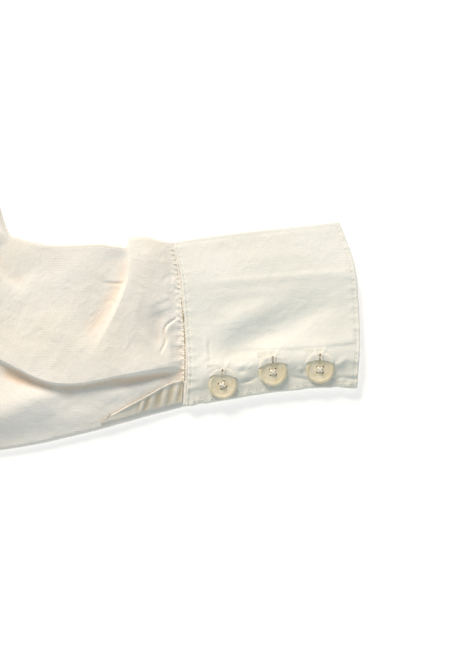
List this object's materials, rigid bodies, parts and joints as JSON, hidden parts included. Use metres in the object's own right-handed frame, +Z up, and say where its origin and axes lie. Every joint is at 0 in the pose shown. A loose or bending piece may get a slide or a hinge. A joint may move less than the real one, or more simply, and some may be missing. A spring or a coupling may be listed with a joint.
{
  "type": "blouse",
  "caption": "Cotton blouse laid flat, front up, with full bent sleeves gathered into deep buttoned cuffs, a plain neckband and a buttoned front.",
  "frame": {"origin": "bottom centre of the laid garment's bounding box, on the surface that it lies on", "axes": "+Y towards the neck, +Z up out of the front, +X towards the wearer's left sleeve"},
  "size_m": [1.2926, 0.6472, 0.0125],
  "materials": {
    "cream_cotton": "washed cream cotton poplin, matte, slightly crinkled",
    "doubled_cotton": "the same cotton cut double and topstitched, matte",
    "horn_button": "pale horn-coloured button, satin"
  },
  "bodies": {
    "root": {"back": "cream_cotton", "front_left": "cream_cotton", "front_right": "cream_cotton", "neckband": "doubled_cotton", "sleeve_left": "cream_cotton", "sleeve_right": "cream_cotton", "sleeve_lap_left": "cream_cotton", "sleeve_lap_right": "cream_cotton", "cuff_left": "doubled_cotton", "cuff_right": "doubled_cotton", "cuff_button_left_1": "horn_button", "cuff_button_left_2": "horn_button", "cuff_button_left_3": "horn_button", "cuff_button_right_1": "horn_button", "cuff_button_right_2": "horn_button", "cuff_button_right_3": "horn_button", "band_button": "horn_button", "front_button_1": "horn_button", "front_button_2": "horn_button", "front_button_3": "horn_button", "front_button_4": "horn_button", "front_button_5": "horn_button", "front_button_6": "horn_button"}
  },
  "joints": []
}
